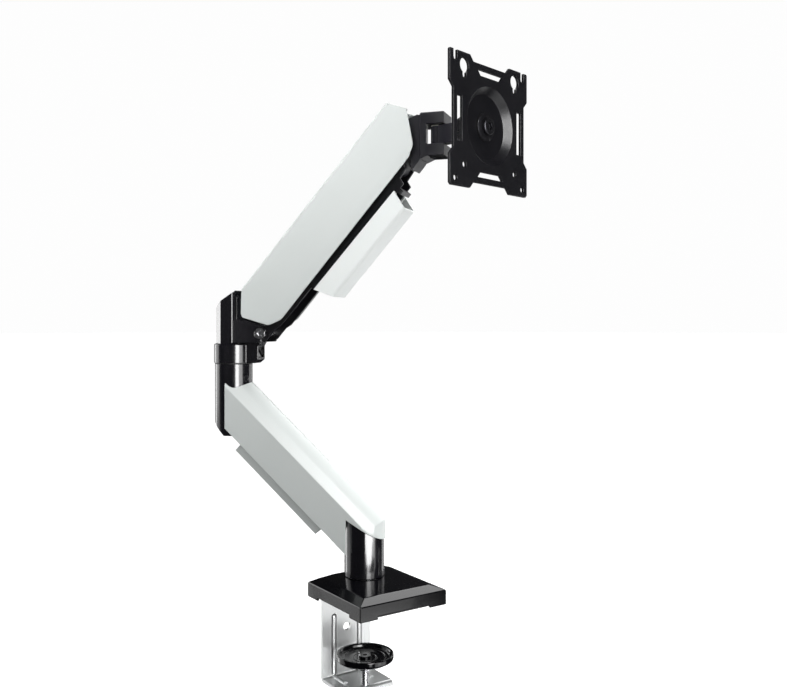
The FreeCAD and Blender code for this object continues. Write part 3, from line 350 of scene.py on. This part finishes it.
def soft(node, width, segments=3, angle=30, where=None, material=None, sharp=40):
    """The node with its hard edges rounded, as moulding, casting and pressing leave them."""
    lo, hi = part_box(node)
    for share in (1.0, 0.6, 0.35, 0.2):
        b = clean(node)
        edges = [e for e in b.edges if len(e.link_faces) == 2 and e.calc_face_angle(0) > math.radians(angle)
                 and (where is None or where(e))]
        if edges:
            bmesh.ops.bevel(b, geom=edges, offset=width * share * MM, offset_type="OFFSET", segments=segments, profile=0.5,
                            affect="EDGES", clamp_overlap=False, miter_outer="SHARP", miter_inner="SHARP", harden_normals=False)
        bmesh.ops.remove_doubles(b, verts=b.verts, dist=2e-6)
        inside = all(lo[k] - 2e-5 <= v.co[k] <= hi[k] + 2e-5 for v in b.verts for k in range(3))
        if inside:
            break
        b.free()
        b = None
    if b is None:
        b = clean(node)
        print("kept plain:", node)
    elif share < 1.0:
        print("rounded less:", node, share)
    mesh = bpy.data.meshes.new(node + "_fine")
    b.to_mesh(mesh)
    b.free()
    finish_mesh(mesh, sharp)
    return piece(node + ".fine", mesh, node, material)


def lathe(bm, profile, axis=(0.0, 0.0), steps=72):
    """A closed body of revolution about a vertical axis, from (radius, height) points in mm."""
    rows = []
    for r, z in profile:
        if r < 1e-6:
            rows.append([bm.verts.new((axis[0] * MM, axis[1] * MM, z * MM))])
        else:
            rows.append([bm.verts.new(((axis[0] + r * math.cos(2 * math.pi * k / steps)) * MM,
                                       (axis[1] + r * math.sin(2 * math.pi * k / steps)) * MM, z * MM)) for k in range(steps)])
    for a, b in zip(rows, rows[1:] + rows[:1]):
        for k in range(steps):
            n = (k + 1) % steps
            if len(a) == 1 and len(b) == 1:
                break
            if len(a) == 1:
                bm.faces.new((a[0], b[k], b[n]))
            elif len(b) == 1:
                bm.faces.new((a[k], b[0], a[n]))
            else:
                bm.faces.new((a[k], b[k], b[n], a[n]))


def rounded(profile, radii, steps=4):
    """Rounds the corners of a closed (radius, height) outline; radii gives one size per point."""
    out = []
    n = len(profile)
    for i, (p, r) in enumerate(zip(profile, radii)):
        if r <= 0:
            out.append(p)
            continue
        a, b = Vector(profile[i - 1]), Vector(profile[(i + 1) % n])
        c = Vector(p)
        u, w = (a - c), (b - c)
        r = min(r, u.length * 0.48, w.length * 0.48)
        p0, p1 = c + u.normalized() * r, c + w.normalized() * r
        for k in range(steps + 1):
            t = k / steps
            q = p0 * (1 - t) ** 2 + c * 2 * t * (1 - t) + p1 * t ** 2
            out.append((q.x, q.y))
    return out


def tidy(bm):
    bmesh.ops.remove_doubles(bm, verts=bm.verts, dist=1e-6)
    bmesh.ops.dissolve_degenerate(bm, dist=1e-6, edges=bm.edges)
    bmesh.ops.recalc_face_normals(bm, faces=bm.faces)


def clamp_screw_mesh():
    """M8 thread at 1.25 mm pitch, a collar under the pad and the neck the pad turns on."""
    y, low, high = -1.0, -164.0, -70.5
    pitch, steps = 1.25, 40
    shape = (3.98, 3.98, 3.72, 3.38, 3.34, 3.62)
    per = len(shape)
    bm = bmesh.new()
    first, last = -per, int((high - low) / pitch * per) + 1
    rows = []
    for i in range(first, last):
        row = []
        for k in range(steps):
            a = 2 * math.pi * k / steps
            z = low + 0.02 + (i + per * k / steps) * pitch / per
            r = shape[i % per]
            # the thread runs out into a plain bevelled end, top and bottom
            near = min(z - low, high - z)
            r = min(r, 3.34 + max(0.0, near) * 0.9)
            z = min(max(z, low), high)
            row.append(bm.verts.new((r * math.cos(a) * MM, (y + r * math.sin(a)) * MM, z * MM)))
        rows.append(row)
    for i in range(len(rows) - 1):
        for k in range(steps):
            n = k + 1
            if n < steps:
                quad = (rows[i][k], rows[i][n], rows[i + 1][n], rows[i + 1][k])
            elif i + 1 + per < len(rows):
                quad = (rows[i][k], rows[i + per][0], rows[i + 1 + per][0], rows[i + 1][k])
            else:
                continue
            bm.faces.new(quad)
    bmesh.ops.remove_doubles(bm, verts=bm.verts, dist=1e-6)
    bmesh.ops.dissolve_degenerate(bm, dist=1e-6, edges=bm.edges)
    core = [(0, low), (3.34, low), (3.34, high), (0, high)]
    lathe(bm, core, (0, y), 40)
    lathe(bm, rounded([(0, -70.5), (6.5, -70.5), (6.5, -68.1), (0, -68.1)], [0, 0.5, 0.5, 0]), (0, y), 56)
    lathe(bm, rounded([(0, -68.4), (3.0, -68.4), (3.0, -59.2), (0, -59.2)], [0, 0, 0.4, 0]), (0, y), 48)
    bmesh.ops.recalc_face_normals(bm, faces=bm.faces)
    mesh = bpy.data.meshes.new("clamp_screw_fine")
    bm.to_mesh(mesh)
    bm.free()
    finish_mesh(mesh, 50)
    return mesh


def clamp_pad_mesh():
    """A shallow moulded dish with a raised rim, a groove round the rim and two rings in its floor."""
    y, top = -1.0, -55.0
    pts = [(3.05, -68.0), (9.0, -68.0), (9.0, -63.6), (23.5, -62.6), (27.5, -60.2), (27.5, -55.6), (26.9, -55.0), (24.6, -55.0),
           (23.9, -55.9), (23.0, -57.9), (22.4, -58.2), (20.6, -58.35), (20.2, -57.9), (19.2, -57.9), (18.8, -58.45),
           (15.0, -59.2), (12.4, -59.2), (12.0, -58.8), (11.0, -58.8), (10.6, -59.2), (3.05, -59.2)]
    size = [0.2, 0.7, 0.8, 1.0, 1.2, 0.5, 0.4, 0.6, 0.5, 0.5, 0.3, 0.2, 0.2, 0.2, 0.2, 0.6, 0.15, 0.15, 0.15, 0.15, 0.2]
    bm = bmesh.new()
    lathe(bm, rounded(pts, size), (0, y), 120)
    bmesh.ops.recalc_face_normals(bm, faces=bm.faces)
    mesh = bpy.data.meshes.new("clamp_pad_fine")
    bm.to_mesh(mesh)
    bm.free()
    finish_mesh(mesh, 50)
    return mesh


piece("clamp_screw.thread", clamp_screw_mesh(), "clamp_screw")
piece("clamp_pad.dish", clamp_pad_mesh(), "clamp_pad")

ROUND = {
    "base_cover": 0.9, "upper_arm_cover": 0.7, "lower_arm_cover": 0.5, "lower_cable_cover": 0.4, "upper_cable_cover": 0.4,
    "lower_arm_frame": 0.5, "elbow_casting": 0.6, "head_casting": 0.8, "swivel_knuckle": 0.6, "tilt_bracket": 0.5,
    "upper_arm_channel": 0.4, "lower_link_channel": 0.4, "vesa_plate": 0.35, "clamp_knob": 1.2,
    "clamp_nut": 0.4, "main_pivot_pin": 0.3, "link_pivot_pin": 0.3, "head_pivot_pin": 0.3, "swivel_bolt": 0.3,
    "swivel_nut": 0.3, "tilt_bolt": 0.3, "tilt_nut": 0.4, "centre_bolt": 0.4, "cup_washer": 0.2, "tension_screw": 0.2,
    "pad_screw": 0.2, "elbow_grub_screw": 0.2, "post_stub": 0.3,
}
OTHER = {"upper_cable_cover": "white_clip", "pad_screw": "black_gloss"}
for n, r in ROUND.items():
    soft(n, r, angle=10 if n == "base_cover" else 30, material=OTHER.get(n), sharp=12 if n == "vesa_plate" else 40)

for n, o in NODES.items():
    o.data.materials.clear()
    o.data.materials.append(MAT[SLOT_OF[n]])
